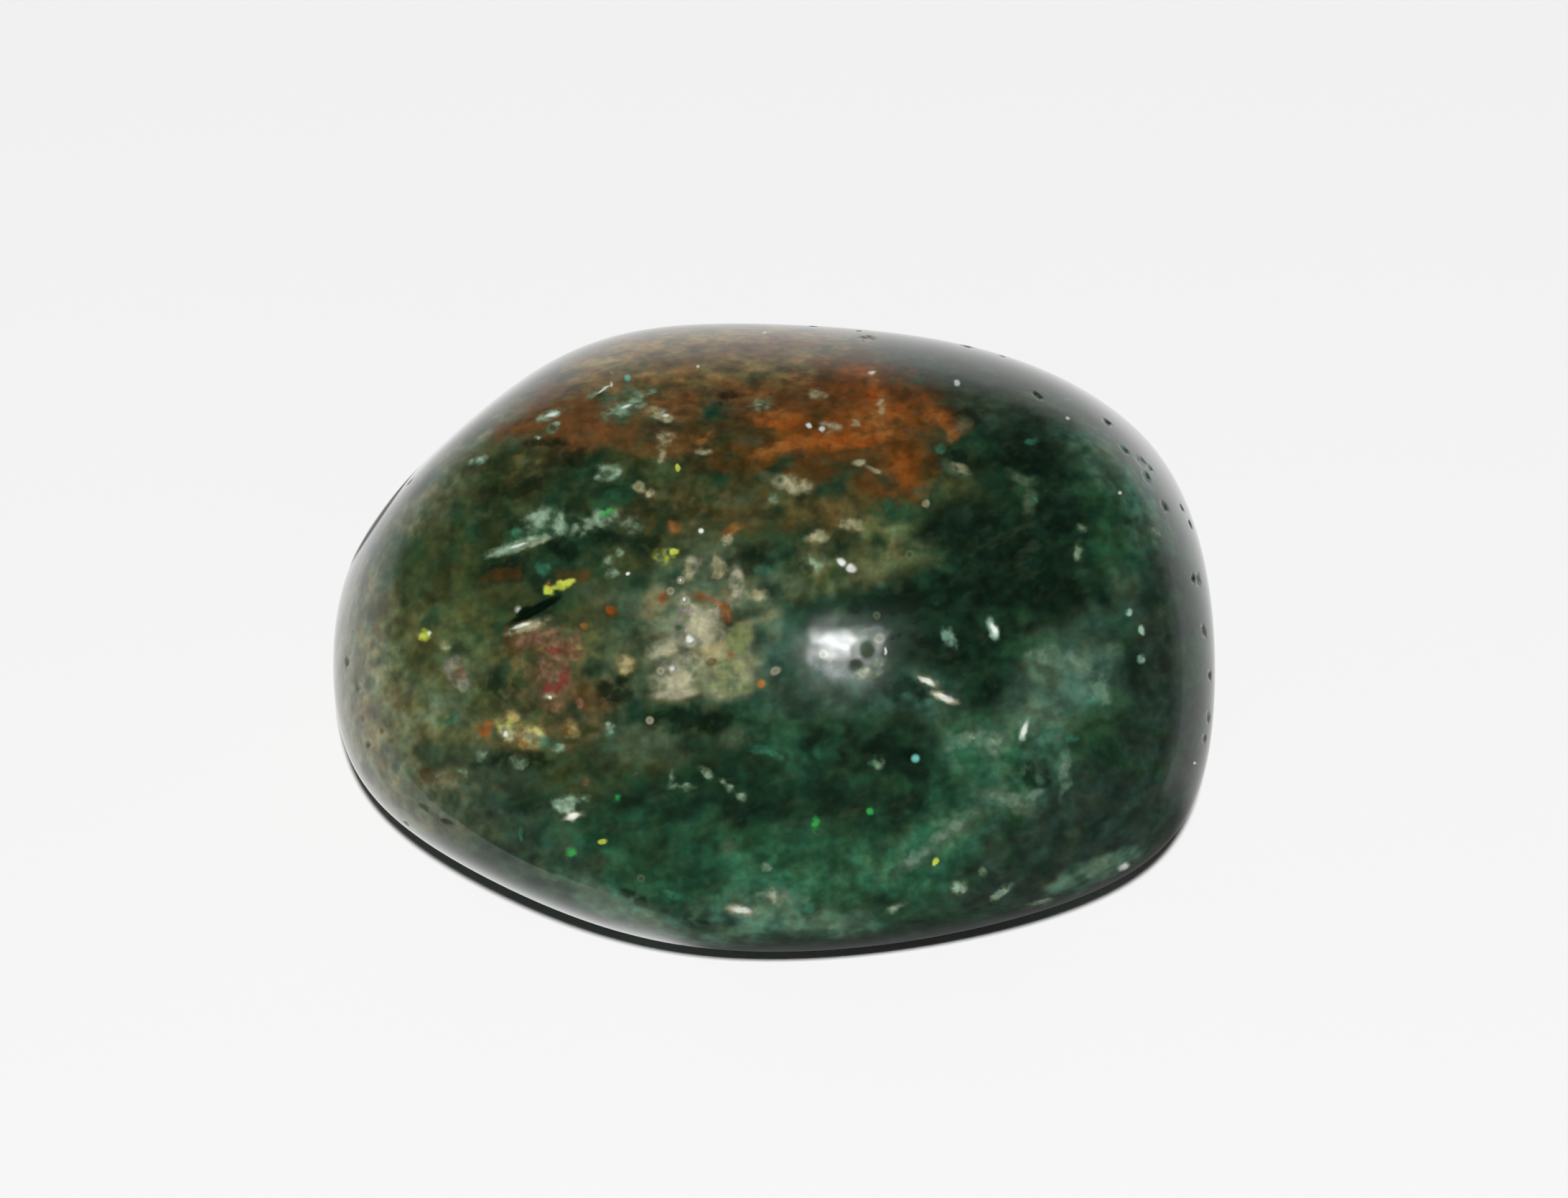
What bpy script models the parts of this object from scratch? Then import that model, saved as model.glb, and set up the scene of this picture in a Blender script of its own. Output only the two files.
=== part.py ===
"""A tumbled bloodstone: one polished natural pebble, resting on the flat of its underside.

The stone lies along X, with its near side towards -Y and its crown towards +Z.
Its origin is the middle of its footprint, on the surface that it rests on.
"""

from math import cos, radians, sin

import bmesh
import bpy
from mathutils import Vector

# Driving dimensions, in metres
LENGTH = 0.0279
WIDTH = 0.0217
HEIGHT = 0.0118

# How much of the rounded underside the flat takes away
FLAT_DEPTH = 0.00015

# Each gently flattened side of the stone: the direction that it faces, as degrees around
# from +X and degrees up from level, and how far it stands from the heart of the stone in mm.
SIDES = {
    "right end": (0, 0, 14.4),
    "right shoulder": (25, 30, 13.4),
    "far right flank": (60, 25, 12.2),
    "far crest": (88, 40, 9.7),
    "left slope": (135, 25, 11.6),
    "left shoulder": (160, 15, 16.0),
    "left end": (185, 10, 14.0),
    "near left corner": (210, -15, 18.8),
    "near left flank": (240, -20, 11.2),
    "near belly": (270, -15, 10.8),
    "near right flank": (288, -12, 11.8),
    "near right corner": (330, -15, 18.0),
    "near left heel": (235, -50, 11.0),
    "near heel": (270, -52, 9.2),
    "near right heel": (302, -45, 10.8),
    "crown": (270, 63, 6.1),
    "left dome": (220, 55, 9.6),
    "right dome": (325, 45, 11.6),
    "near dome": (270, 40, 10.2),
    "far dome": (90, 75, 8.0),
    "far belly": (90, -10, 11.5),
    "far heel": (90, -50, 9.4),
    "base": (0, -90, 4.6),
    "left heel": (180, -45, 14.0),
    "right heel": (0, -40, 12.4),
    "left sole": (180, -70, 8.6),
    "right sole": (0, -70, 8.6),
}

# How firmly the tumbling left the sides: a low number rounds them away, a high one keeps them
FIRMNESS = 10.0

# Fineness of the ball that the stone is shaped from
BALL_SUBDIVISIONS = 5

STONE_GREEN = (0.030, 0.075, 0.045, 1.0)
POLISH_ROUGHNESS = 0.12


def clear_scene():
    for old in list(bpy.data.objects):
        bpy.data.objects.remove(old, do_unlink=True)


def direction(around, up):
    around = radians(around)
    up = radians(up)
    return Vector((cos(up) * cos(around), cos(up) * sin(around), sin(up)))


def reach(towards, sides):
    """Distance from the heart to the surface, all the sides blended into one smooth skin."""
    total = 0.0
    for facing, distance in sides:
        share = towards.dot(facing) / distance
        if share > 0.0:
            total += share ** FIRMNESS
    return total ** (-1.0 / FIRMNESS)


def extent(verts, axis):
    values = [v.co[axis] for v in verts]
    return min(values), max(values)


def fit_axis(verts, axis, size, lowest):
    """Bring one axis to its size, with its lowest point where it belongs."""
    low, high = extent(verts, axis)
    factor = size / (high - low)
    for v in verts:
        v.co[axis] = lowest + (v.co[axis] - low) * factor


def shape_stone(bm):
    sides = [(direction(around, up), distance) for around, up, distance in SIDES.values()]
    for v in bm.verts:
        towards = v.co.normalized()
        v.co = towards * reach(towards, sides)
    fit_axis(bm.verts, 0, LENGTH, -LENGTH / 2)
    fit_axis(bm.verts, 1, WIDTH, -WIDTH / 2)
    fit_axis(bm.verts, 2, HEIGHT + FLAT_DEPTH, -FLAT_DEPTH)


def cut_resting_flat(bm):
    """Cut the underside level at z = 0 and close it with one flat face."""
    geometry = bm.verts[:] + bm.edges[:] + bm.faces[:]
    cut = bmesh.ops.bisect_plane(
        bm, geom=geometry, dist=1e-6, plane_co=(0, 0, 0), plane_no=(0, 0, 1), clear_inner=True)
    rim = [item for item in cut["geom_cut"] if isinstance(item, bmesh.types.BMEdge)]
    bmesh.ops.edgeloop_fill(bm, edges=rim)
    bmesh.ops.recalc_face_normals(bm, faces=bm.faces[:])


def stone_material():
    material = bpy.data.materials.new("polished_bloodstone")
    material.use_nodes = True
    shader = material.node_tree.nodes["Principled BSDF"]
    shader.inputs["Base Color"].default_value = STONE_GREEN
    shader.inputs["Roughness"].default_value = POLISH_ROUGHNESS
    shader.inputs["Metallic"].default_value = 0.0
    return material


def make_stone(collection):
    bpy.ops.mesh.primitive_ico_sphere_add(subdivisions=BALL_SUBDIVISIONS, radius=1.0)
    stone = bpy.context.object
    stone.name = "bloodstone"
    stone.data.name = "bloodstone"
    for home in list(stone.users_collection):
        home.objects.unlink(stone)
    collection.objects.link(stone)

    bm = bmesh.new()
    bm.from_mesh(stone.data)
    shape_stone(bm)
    cut_resting_flat(bm)
    bm.to_mesh(stone.data)
    bm.free()

    stone.data.shade_smooth()
    stone.data.materials.append(stone_material())
    return stone


def main():
    clear_scene()
    collection = bpy.data.collections.new("tumbled_bloodstone")
    bpy.context.scene.collection.children.link(collection)
    make_stone(collection)


main()
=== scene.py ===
"""The looks of a tumbled bloodstone pebble: its fine polished surface, its pits and its markings.

Places on the near side are given by their pixel in the photograph. They are thrown onto the stone
along the camera's rays, so each mark and each pit sits on the surface itself. Places on the far side
are drawn at random from a seed. Sizes of marks are in the photograph's pixels, 44.2 to the millimetre.
"""

from collections import namedtuple
from math import asin, cos, pi, radians, sin
from random import Random

import bmesh
import bpy
from mathutils import Matrix, Vector, noise
from mathutils.bvhtree import BVHTree
from mathutils.kdtree import KDTree


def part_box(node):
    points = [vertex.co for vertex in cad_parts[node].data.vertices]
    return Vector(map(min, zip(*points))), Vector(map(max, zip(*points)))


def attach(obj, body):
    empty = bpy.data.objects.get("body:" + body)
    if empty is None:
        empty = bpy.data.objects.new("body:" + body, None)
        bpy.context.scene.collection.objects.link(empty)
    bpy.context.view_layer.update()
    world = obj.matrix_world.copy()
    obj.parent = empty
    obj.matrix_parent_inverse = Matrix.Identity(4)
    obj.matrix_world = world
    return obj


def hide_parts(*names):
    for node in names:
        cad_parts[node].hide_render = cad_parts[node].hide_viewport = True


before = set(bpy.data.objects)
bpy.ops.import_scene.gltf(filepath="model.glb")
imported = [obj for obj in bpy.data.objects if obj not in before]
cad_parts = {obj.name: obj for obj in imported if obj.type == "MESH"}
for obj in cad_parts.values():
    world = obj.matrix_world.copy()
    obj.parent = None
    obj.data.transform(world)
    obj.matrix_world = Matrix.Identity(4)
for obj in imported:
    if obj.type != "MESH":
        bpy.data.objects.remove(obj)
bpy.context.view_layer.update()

MM = 0.001

# The photograph and the camera that took it
PHOTO_WIDTH = 2184
PHOTO_HEIGHT = 1668
FOCAL_PIXELS = 11492
SENSOR_WIDTH = 36.0
NEAREST_SEEN = 0.01
FARTHEST_SEEN = 20.0
VIEW_ELEVATION = radians(60)
VIEW_DISTANCE = 0.26
VIEW_TARGET = Vector((0.38, 0.85, 5.12)) * MM
PIXELS_PER_MM = 44.2
HEART_PIXEL = Vector((1081, 893))
RIM_STEPS = 12
RIM_STEP = 0.004

VIEW_AXES = Matrix.Rotation(pi / 2 - VIEW_ELEVATION, 3, "X")
VIEW_BACK = VIEW_AXES @ Vector((0, 0, 1))
CAMERA_PLACE = VIEW_TARGET + VIEW_BACK * VIEW_DISTANCE

# The lamp stands high over the stone. Its image in the polish comes from two panels that stand where
# the polish mirrors them to the highlight in the photograph, a small bright one and a wide dim one.
LAMP_PIXEL = (1165, 825)
LAMP_DISTANCE = 0.80
LAMP_SIZE = (0.035, 0.035)
LAMP_POWER = 7.4
GLINT_PIXEL = (1168, 900)
GLINT_SIZE = (0.0075, 0.005)
GLINT_POWER = 0.0075
HALO_PIXEL = (1176, 912)
HALO_SIZE = (0.010, 0.014)
HALO_POWER = 0.0014

# The floor, and the room around it: its brightness overhead and along the horizon behind the camera
# and across from it, by how far the direction points up or away from the camera
FLOOR_RADIUS = 0.12
FLOOR_CORNERS = 96
FLOOR_DROP = 0.02 * MM
FLOOR_GREY = 0.83
ROOM_OVERHEAD = 0.04
ROOM_NEAR_HORIZON = 0.14
ROOM_FAR_HORIZON = 0.70
ROOM_NEAR_SIDE = -0.8
ROOM_FAR_SIDE = 0.2
ROOM_GLOW_FOOT = -0.14
ROOM_GLOW_TOP = 0.24

# A black card lies in front of the stone, seen only in its polish: it keeps the lower rim dark. Its
# ends are angles around the stone in degrees, and its inner edge is a share of the way to the rim.
CARD_START = 0.70
CARD_REACH = 1.45
CARD_GREY = 0.10
CARD_FROM = 244
CARD_TO = 352
CARD_STEP = 4
CARD_FADE = 18
NEAR_SIDE = 270

# The fine surface
SAME_PLACE = 0.0001 * MM
SURFACE_CUTS = 3
SMOOTHING_STEPS = 24
SMOOTHING_SHARE = 0.5
FLAT_HEIGHT = 0.002 * MM
WAVE_SIZE = 3.2 * MM
WAVE_DEPTH = 0.004 * MM
RIPPLE_SIZE = 0.9
RIPPLE_DEPTH = 0.0017 * MM
BODY_ROUGHNESS = 0.5
BODY_SPECULAR = 0.05
POLISH_ROUGHNESS = 0.05

# How far past its edge a pit's mesh is cut finer, and how its floor meets its wall
PIT_MARGIN = 0.25 * MM
PIT_REACH = 1.5
PIT_FLOOR = 0.30
PIT_EDGE = 1.15
PIT_RAGGEDNESS = 0.35
PIT_GRAIN = 0.16 * MM

# Pits of the far side: how many, their half heights, their widest shape and their depth to size
SCATTERED_PITS = 40
SMALLEST_PIT = 0.06
LARGEST_PIT = 0.17
LONGEST_PIT = 2.5
PIT_STEEPNESS = 0.4

# Marks reach into the stone from where they are seen, so that they follow its curve. A soft skirt
# lies around each one, and the cover of small marks falls off faster than that of zones.
MARK_REACH = 3.0
MARK_ROOM = 0.5
MARK_SKIRT = 1.9
MARK_FALL = 2.0
ZONE_REACH = 6.0
EDGE_OUTWARD = 0.9
EDGE_INWARD = 0.8
CORE_RIM = 0.62
CORE_FULL = 0.80

# A place counts as hidden once it faces this far from the camera. Marks of the far side lie at any
# height but the underside. Their height and their reach into the stone are shares of their width.
HIDDEN_TURN = 0.12
LOWEST_HIDDEN = -0.9
FLATTEST_MARK = 0.35
ROUNDEST_MARK = 0.9
HIDDEN_REACH = 2
MARK_SEED = 5
PIT_SEED = 11

# Below this slope the skin counts as level. Rays towards the stone start this many millimetres out.
NEARLY_LEVEL = 0.2
WELL_OUTSIDE = 100

# Noises that bend the marks: size of their lumps and how far they bend, in millimetres
WARPS = {"wide": (2.6, 2.2), "middle": (0.9, 0.6), "fine": (0.32, 0.14)}

# Noises that eat into the edges of marks, and the mottle between a layer's two colours: sizes of
# their lumps, then the span of the noise that is used, and what it becomes
MIDDLE_GRAIN = 1.0
FINE_GRAIN = 0.36
SPECKLE_GRAIN = 0.26
GRAIN_SPAN = (0.25, 0.75)
MIDDLE_BITE = (0.45, 1.55)
FINE_BITE = (0.50, 1.50)
MOTTLE_LARGE = 0.6
MOTTLE_SMALL = 0.4
MOTTLE_SPAN = (0.38, 0.62)
SPECKLE_SPAN = (0.26, 0.74)

# The ground between the zones: size of its lumps, the span used, and how much of it is brighter
GROUND_LUMPS = 2.4
GROUND_SPAN = (0.40, 0.62)
BRIGHTER_SPAN = (0.4, 1.0)
BRIGHTER_SHARE = 0.4

# Changes of brightness: size of the lumps, then the darkest and the brightest of them
BROAD_RIPPLE = (0.75, 0.66, 1.34)
FINE_RIPPLE = (0.34, 0.80, 1.20)
RIPPLE_SPAN = (0.28, 0.72)

# Changes of hue: size of the lumps, the span used, and the warmest and the coolest tint
DRIFT_LUMPS = 0.85
DRIFT_SPAN = (0.35, 0.65)
WARM_TINT = (1.16, 0.98, 0.90, 1)
COOL_TINT = (0.86, 1.02, 1.08, 1)

# The grain of the stone, as a turn in the photograph and how far it draws flecks out. Flecks: size,
# where the noise starts and ends to show them, and how much they cover
WISP_TURN = 22
WISP_STRETCH = 2.2
DARK_WISPS = (0.50, 0.50, 0.76, 0.38)
PALE_WISPS = (0.42, 0.54, 0.80, 0.32)

# Colours of the stone

def rgb(red, green, blue):
    """A colour, from thousandths of linear light."""
    return (red / 1000, green / 1000, blue / 1000, 1)


INK = rgb(2, 7, 3)
PITCH = rgb(5, 15, 8)
DEEP = rgb(7, 24, 11)
FOREST = rgb(12, 42, 20)
LEAF = rgb(14, 50, 18)
EMERALD = rgb(20, 80, 38)
JADE = rgb(40, 135, 68)
SLATE = rgb(17, 32, 22)
GREY_GREEN = rgb(32, 54, 30)
MILKY = rgb(68, 142, 92)
MILKY_TEAL = rgb(28, 74, 50)
PALE_OLIVE = rgb(125, 140, 62)
MOSS = rgb(68, 86, 27)
OLIVE = rgb(41, 50, 17)
DARK_OLIVE = rgb(22, 36, 10)
SHADE_OLIVE = rgb(20, 24, 6)
BROWN = rgb(150, 105, 38)
UMBER = rgb(42, 30, 8)
RED_BROWN = rgb(155, 60, 16)
RUST = rgb(210, 56, 6)
DARK_RUST = rgb(75, 29, 5)
FLAME = rgb(290, 62, 6)
ORANGE = rgb(330, 130, 30)
CRIMSON = rgb(135, 24, 18)
PINK = rgb(260, 135, 85)
CREAM = rgb(420, 400, 240)
BEIGE = rgb(230, 215, 130)
STONE_GREY = rgb(215, 210, 110)
DARK_STONE = rgb(165, 182, 100)
WARM_GREY = rgb(240, 165, 55)
PALE_GREEN = rgb(270, 400, 260)
SAGE = rgb(85, 120, 65)
DULL_SAGE = rgb(42, 60, 32)
YELLOW = rgb(500, 580, 70)
LIME = rgb(30, 320, 60)
TEAL = rgb(40, 170, 105)
AQUA = rgb(130, 430, 360)
# Near-white of white specks, and of painted glints of the lamp
SPECK_AND_GLINT_WHITE = rgb(800, 830, 760)
DUSK = rgb(95, 42, 24)
PALE_GREY = rgb(340, 320, 225)
YELLOW_GREEN = rgb(150, 185, 50)
MINT = rgb(330, 520, 380)
ROSY = rgb(160, 100, 42)
ARC_GREY = rgb(120, 180, 125)
AMBER = rgb(400, 320, 120)
TAWNY = rgb(130, 95, 35)
LAVENDER = rgb(210, 180, 175)
CLUSTER_GLOW = rgb(270, 270, 145)
HAZE = rgb(48, 92, 60)
PALE_TEAL = rgb(85, 175, 112)
AUBURN = rgb(85, 43, 14)
TOP_TAN = rgb(420, 270, 60)
CORNER = rgb(20, 34, 25)
CORNER_DARK = rgb(14, 25, 18)
CLOUD = rgb(70, 128, 86)
PAINTED_HALO_BLUE = rgb(120, 150, 150)

# Pits of the near side, by pixel: middle, half width, half height, turn in degrees, depth in mm
NEAR_PITS = dict(
    slit=(747, 848, 44, 7, 28, 0.12), crown_pit=(1209, 471, 14, 5, 0, 0.05),
    crown_pit_by_it=(1196, 461, 4, 4, 0, 0.03), top_chip=(1353, 476, 11, 3, -12, 0.04),
    top_pit=(1396, 496, 6, 3, 0, 0.03), shoulder_high=(1445, 551, 9, 4, -45, 0.06),
    shoulder_nick=(1542, 588, 8, 4, -40, 0.08), crease_top=(1566, 626, 9, 4, -45, 0.07),
    crease_pit=(1590, 643, 11, 6, -40, 0.06), crease_lower=(1602, 652, 6, 4, -40, 0.05),
    crease_foot=(1597, 664, 5, 9, 20, 0.07), crease_low=(1622, 705, 5, 9, 25, 0.07),
    rim_nick=(1646, 707, 4, 6, 0, 0.07), right_high=(1658, 730, 4, 7, 10, 0.09),
    right_pit=(1669, 807, 4, 10, 5, 0.06), right_rim=(1662, 805, 4, 7, 0, 0.08),
    right_scratch=(1677, 879, 3, 10, 15, 0.07), right_low=(1685, 940, 3, 6, 0, 0.07),
    nick_low=(1683, 999, 3, 8, 5, 0.06), corner_pit=(1677, 1028, 5, 6, 0, 0.05),
    left_pit=(484, 921, 4, 8, 10, 0.07), left_lower=(500, 957, 5, 8, 20, 0.07),
    flank_pit=(532, 1018, 4, 5, 0, 0.06), pit_lower=(514, 1036, 4, 6, 0, 0.06),
    lower_nick=(590, 1123, 12, 4, -35, 0.07), lower_left=(622, 1142, 10, 4, -20, 0.06),
    lower_rim_nick=(566, 1146, 6, 3, -40, 0.06), heel_pit=(1376, 1262, 6, 4, 20, 0.08))

# A layer of marks of one kind. Colour is one colour, or two that are mottled together. Strength is
# how much it covers, and edge how soft it is. Warp is the scale of the noise that bends it, and
# grain the noise that eats into its edges. Core is the colour in the middle of a ring. Spots are
# its places, by pixel: middle, half width, half height and turn in degrees, the last two only
# where they are needed.
Layer = namedtuple("Layer", "colour strength edge warp grain core spots")
ZONES = {}
MARKS = {}


def layer(colour, strength, edge, warp="fine", grain="fine", core=None, **spots):
    return Layer(colour, strength, edge, warp, grain, core, spots.values())


def zone(name, colour, strength, edge, warp="wide", grain="middle", **spots):
    ZONES[name] = layer(colour, strength, edge, warp, grain, **spots)


def mark(name, *looks, **spots):
    MARKS[name] = layer(*looks, **spots)


# Wide zones of the near side
zone("emerald", (EMERALD, FOREST), 0.9, 0.8,
    bottom=(1130, 1210, 210, 70, -3), bottom_left=(850, 1215, 120, 40, -20),
    right_mid=(1330, 1120, 80, 70), under_gleam=(1130, 1030, 120, 50), right=(1545, 760, 40, 90),
    shoulder=(1420, 900, 60, 40))
zone("jade", (JADE, EMERALD), 0.75, 0.9,
    bottom=(1225, 1205, 70, 34, 10), bottom_mid=(1070, 1225, 80, 30),
    bottom_right=(1310, 1180, 40, 40, 30), far_left=(810, 1205, 70, 30, -25),
    right=(1375, 1050, 50, 40))
zone("dark band", (DEEP, PITCH), 0.9, 0.7,
    band=(1060, 1105, 230, 40), under_cluster=(985, 1040, 60, 40), under_dashes=(1240, 1040, 80, 40),
    left_gleam=(1130, 975, 60, 24))
zone("pale end", (STONE_GREY, DARK_STONE), 0.95, 0.7, "middle",
    left_end=(500, 970, 95, 180), below_end=(575, 1060, 90, 90, 30))
zone("left end", (DARK_STONE, PALE_OLIVE), 0.88, 0.8, "middle",
    inside_end=(600, 990, 80, 110, 10), below_it=(620, 1110, 66, 54, -30),
    # upper_left and top_left: a paler band along the upper left rim, painted glow of light scattered in
    # the thin rim
    above_it=(545, 830, 50, 70, -20), upper_left=(600, 690, 130, 36, 48),
    top_left=(700, 590, 80, 28, 40))
zone("moss", (MOSS, OLIVE), 0.9, 0.8,
    left_flank=(650, 890, 80), left_high=(600, 830, 60), below_pink=(670, 1030, 80, 50),
    by_pink=(820, 880, 60))
zone("left grey", (SAGE, MOSS), 0.55, 0.9, "middle",
    left=(655, 950, 60, 50), left_low=(640, 1030, 60, 40))
zone("dark olive", (DARK_OLIVE, OLIVE), 0.9, 0.8,
    left_ridge=(650, 770, 90, 60, 20), left_slit=(700, 830, 60, 40),
    above_ridge=(720, 670, 110, 50, 20), right_ridge=(850, 790, 70, 40), low_left=(800, 1060, 90, 34))
zone("left middle", (GREY_GREEN, DARK_OLIVE), 0.8, 0.8,
    low=(870, 1030, 90, 40), left_cluster=(880, 950, 60, 50), low_left=(740, 1080, 80, 40, -10))
zone("slate", (SLATE, GREY_GREEN), 0.9, 0.7,
    heel=(700, 1150, 130, 62, -35), heel_right=(800, 1200, 60, 30, -30))
zone("brown", (BROWN, AUBURN), 0.95, 0.7,
    left_shoulder=(890, 560, 130, 46, 12), left=(790, 590, 80, 34, 20), top=(1020, 525, 110, 40))
zone("auburn", (AUBURN, UMBER), 0.85, 0.8, "middle",
    left=(800, 595, 60, 20, 15), mid=(860, 605, 70, 20, 5), right=(980, 600, 60, 16))
zone("shade", (SHADE_OLIVE, OLIVE), 0.85, 0.8,
    under_brown=(900, 650, 130, 26, 5), left=(770, 645, 60, 18, 10), right=(1010, 620, 60, 24),
    under_leaf=(960, 700, 90, 40))
zone("red haze", (RED_BROWN, AUBURN), 0.7, 0.8, "middle",
    at_rim=(755, 566, 66, 18, 36), inside_it=(810, 590, 50, 16, 10), right_of_it=(940, 560, 40, 20),
    left_rust=(1050, 548, 50, 32))
# Warm top and tan rim: the brown of the stone, made brighter along the top rim as painted glow of light
# in the thin rim
zone("warm top", (WARM_GREY, BROWN), 0.85, 0.8,
    top=(1010, 490, 170, 36), top_left=(890, 505, 100, 28, 18))
zone("tan rim", (TOP_TAN, WARM_GREY), 0.85, 0.8, "middle",
    top=(1050, 468, 190, 16), top_left=(860, 492, 90, 16, 20))
zone("under the rust", (UMBER, DARK_RUST), 0.9, 0.7, "middle",
    mid=(1140, 640, 110, 34), right=(1230, 660, 60, 40), left=(1040, 645, 60, 24))
zone("haze", (OLIVE, SHADE_OLIVE), 0.88, 0.8,
    under_rust=(1150, 735, 150, 40), left=(1010, 740, 90, 36), right=(1310, 680, 50, 40))
zone("umber veil", (UMBER, TAWNY), 0.45, 0.9, "middle",
    mid=(950, 715, 90, 28), left=(745, 640, 50, 20, 20), right=(1140, 715, 90, 24))
zone("tawny haze", (MOSS, PALE_OLIVE), 0.8, 0.8,
    around_glint=(1215, 797, 90, 30), right_glint=(1240, 745, 60, 22), left_glint=(1130, 800, 40, 30))
zone("rosy ground", (ROSY, OLIVE), 0.75, 0.8, "middle",
    mid=(758, 905, 54, 40), low=(775, 965, 56, 34), lowest=(740, 1020, 70, 22),
    right=(830, 980, 40, 30))
zone("grey haze", (SAGE, DULL_SAGE), 0.6, 0.9, "middle",
    cluster_field=(985, 800, 70, 40), cluster_left=(900, 860, 60, 50), left_cluster=(880, 920, 50, 40),
    right_cluster=(1060, 830, 30, 50), below=(900, 1040, 50, 24))
zone("grey top", (SLATE, GREY_GREEN), 0.9, 0.7,
    top_right=(1370, 540, 130, 50, -25), crown_right=(1290, 480, 90, 24, -5))
zone("teal shoulder", (MILKY, MILKY_TEAL), 0.9, 0.8,
    shoulder=(1582, 682, 40, 90, 30), shoulder_left=(1542, 645, 36, 50, 30),
    shoulder_top=(1530, 620, 60, 30, -35))
zone("black", (INK, PITCH), 0.92, 0.7, "middle",
    right_crown=(1435, 650, 66, 60), right_low=(1460, 725, 60, 40), right_lobe=(1310, 740, 40, 26),
    right=(1430, 800, 120, 80), left_of_it=(1320, 830, 80, 44), right_gleam=(1350, 905, 90, 40),
    above_cloud=(1450, 880, 50, 22), under_right=(1380, 960, 60, 30), under_dashes=(1200, 1040, 90, 28),
    right_haze=(1350, 730, 50, 40), right_pit=(1590, 930, 40, 50), under_leaf=(1530, 830, 50, 40))
zone("highlight haze", (HAZE, MILKY_TEAL), 0.8, 0.9, "middle",
    left_gleam=(1065, 930, 50), below=(1215, 962, 100, 30), right=(1300, 975, 50, 22, -20))
zone("cluster glow", (CLUSTER_GLOW, STONE_GREY), 0.9, 0.8, "middle",
    head=(980, 872, 46, 40), body=(962, 935, 40, 36), right=(1008, 920, 42, 44))
zone("cluster top", (SAGE, STONE_GREY), 0.6, 0.9, "middle",
    top=(990, 812, 46, 34), left=(925, 850, 30), right=(1050, 850, 26, 40))
zone("leaf", (LEAF, FOREST), 0.75, 0.8,
    right=(1540, 745, 40, 66), right_low=(1400, 1000, 50, 30), corner=(1530, 990, 50, 16, 20))
zone("pale shoulder", (MILKY, HAZE), 0.8, 0.9, "middle",
    shoulder=(1545, 640, 30, 44, 35))
zone("dark corner", (CORNER, CORNER_DARK), 0.88, 0.7,
    lower_right=(1530, 1130, 150, 70, 15), lower_rim=(1420, 1220, 90, 34, 15),
    right_flank=(1620, 1000, 50, 100), right=(1620, 860, 44, 70))
zone("milk", CLOUD, 0.88, 0.9, "middle", "solid",
    cloud=(1488, 940, 58, 46, -20), cloud_low=(1452, 986, 48, 32, 25), cloud_left=(1422, 1012, 34, 20),
    cloud_right=(1528, 912, 28, 24, -20))
zone("cloud top", (MILKY_TEAL, GREY_GREEN), 0.7, 0.9, "middle",
    cloud_top=(1535, 875, 40, 28), over_it=(1565, 820, 20, 40))
zone("skirt", (MILKY, EMERALD), 0.7, 0.9, "middle",
    under_cloud=(1435, 1050, 56, 46), left_of_it=(1355, 1035, 46, 30), foot=(1400, 1108, 50, 22, -10),
    tail=(1310, 1165, 80, 24, 35))
zone("pale rim", (PALE_TEAL, MILKY), 0.85, 0.8, "middle",
    bottom_left=(860, 1265, 80, 20, -28), bottom_end=(950, 1295, 60, 16, -12),
    bottom=(1060, 1275, 70, 34), bottom_mid=(1140, 1290, 60, 18), bottom_right=(1530, 1213, 60, 15, 20))

# Marks of the near side
mark("auburn veil", (AUBURN, RED_BROWN), 0.6, 0.9, "middle", "middle",
    left=(770, 588, 70, 20, 20), mid=(850, 598, 70, 22, 5), right=(930, 616, 60, 16),
    rim=(735, 566, 50, 12, 38))
mark("rust haze", (RED_BROWN, DARK_RUST), 0.75, 0.9, "middle", "middle",
    body=(1200, 580, 100, 60), lobe=(1250, 655, 46), top=(1070, 480, 60, 14, 5))
mark("rust", (RUST, DARK_RUST), 0.8, 0.8, "middle",
    dome=(1190, 530, 66, 34), right_shoulder=(1255, 560, 48, 32, -30), tip=(1315, 582, 32, 13, -20),
    mid=(1150, 592, 95, 34), left=(1095, 592, 34, 22), lobe=(1262, 640, 22, 40, 10))
mark("flame", (FLAME, ORANGE), 0.6, 0.9, "middle",
    band=(1190, 612, 60, 9, 8), band_left=(1100, 622, 44, 9, 12), tip=(1312, 584, 24, 9, -20),
    shoulder=(1222, 556, 14, 20), dome=(1200, 520, 26, 10, -20), centre=(1222, 580, 30, 18),
    left=(1080, 583, 30, 12))
mark("holes in the rust", (SHADE_OLIVE, UMBER), 0.65, 0.9, "fine", "middle",
    upper=(1155, 522, 20, 9), mid=(1186, 546, 14, 7), lower=(1143, 575, 18, 8), right=(1248, 586, 9, 6),
    under=(1215, 645, 30, 8, 10), left=(1060, 600, 20, 10), far_right=(1285, 566, 10, 9),
    low=(1180, 628, 26, 6, 8), lobe=(1290, 655, 8, 18, 10))
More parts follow.
